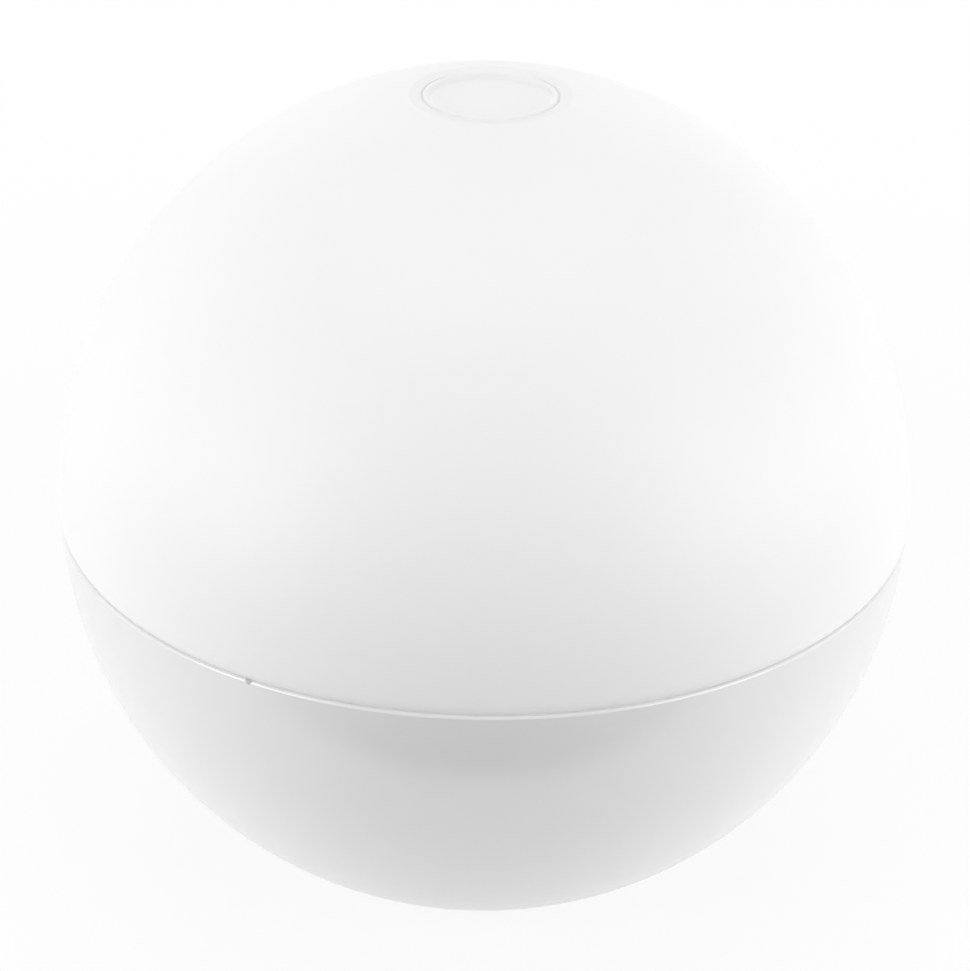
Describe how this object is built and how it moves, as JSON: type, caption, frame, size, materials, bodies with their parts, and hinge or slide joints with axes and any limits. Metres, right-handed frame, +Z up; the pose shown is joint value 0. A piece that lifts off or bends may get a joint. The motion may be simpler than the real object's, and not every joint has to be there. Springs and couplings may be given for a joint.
{
  "type": "garden globe light",
  "caption": "Cordless white globe light: an opal diffuser shell over a glossy base shell, with a dished push button flush in the crown and a flat soft foot to stand on.",
  "frame": {"origin": "middle of the foot ring, on the surface that the globe stands on", "axes": "+Z up through the push button, -Y towards the front, where the pictured side is, and the charging port low on the +Y side"},
  "size_m": [0.2, 0.2, 0.1882],
  "materials": {
    "diffuser": "satin opal, slightly translucent",
    "shell": "glossy opaque white",
    "button": "satin opal",
    "seal_rubber": "matte, pale silicone",
    "foot_rubber": "matte, pale grey",
    "plug_rubber": "matte, off-white",
    "spring_steel": "bright drawn wire",
    "screw_steel": "zinc plated",
    "inner_plastic": "moulded white",
    "dark_plastic": "moulded black",
    "pale_plastic": "natural nylon",
    "green_board": "solder mask",
    "white_board": "white solder mask",
    "led_phosphor": "phosphor under clear resin",
    "capacitor_sleeve": "shrunk sleeve",
    "cell_wrap": "shrunk sleeve",
    "nickel": "nickel strip",
    "socket_metal": "plated steel",
    "lead_red": "silicone insulation",
    "lead_black": "silicone insulation",
    "lead_white": "silicone insulation"
  },
  "bodies": {
    "globe": {"diffuser_globe": "diffuser", "base_shell": "shell", "seam_seal": "seal_rubber", "foot_ring": "foot_rubber", "button_spring": "spring_steel", "push_switch": "dark_plastic", "switch_board": "green_board", "switch_board_screws": "screw_steel", "lamp_column": "inner_plastic", "column_screws": "screw_steel", "reflector_plate": "inner_plastic", "plate_screws": "screw_steel", "led_board": "white_board", "led_chips": "led_phosphor", "led_board_screws": "screw_steel", "control_board": "green_board", "control_board_screws": "screw_steel", "lead_sockets": "pale_plastic", "driver_chip": "dark_plastic", "power_coil": "dark_plastic", "capacitors": "capacitor_sleeve", "battery_cell_front": "cell_wrap", "battery_cell_back": "cell_wrap", "cell_link_left": "nickel", "cell_link_right": "nickel", "battery_tray": "dark_plastic", "battery_clamp": "dark_plastic", "tray_screws": "screw_steel", "clamp_screws": "screw_steel", "hinge_pin": "spring_steel", "usb_socket": "socket_metal", "port_board": "green_board", "port_board_screws": "screw_steel", "switch_leads": "lead_white", "led_leads": "lead_white", "battery_lead_red": "lead_red", "battery_lead_black": "lead_black", "port_leads": "lead_white"},
    "button": {"button_cap": "button", "button_seal": "seal_rubber", "button_clip": "spring_steel", "switch_plunger": "pale_plastic"},
    "port_cover": {"port_door": "shell", "port_plug": "plug_rubber"}
  },
  "joints": [
    {"name": "button_press", "type": "slide", "parent": "globe", "child": "button", "axis": [0, 0, -1], "range_m": [0, 0.0012], "stiffness_N_per_m": 900, "springref_m": -0.0012, "deforming": ["button_spring"]},
    {"name": "port_cover_hinge", "type": "hinge", "parent": "globe", "child": "port_cover", "pos_m": [0, 0.07228, 0.02314], "axis": [-1, 0, 0], "range_deg": [0, 95]}
  ]
}
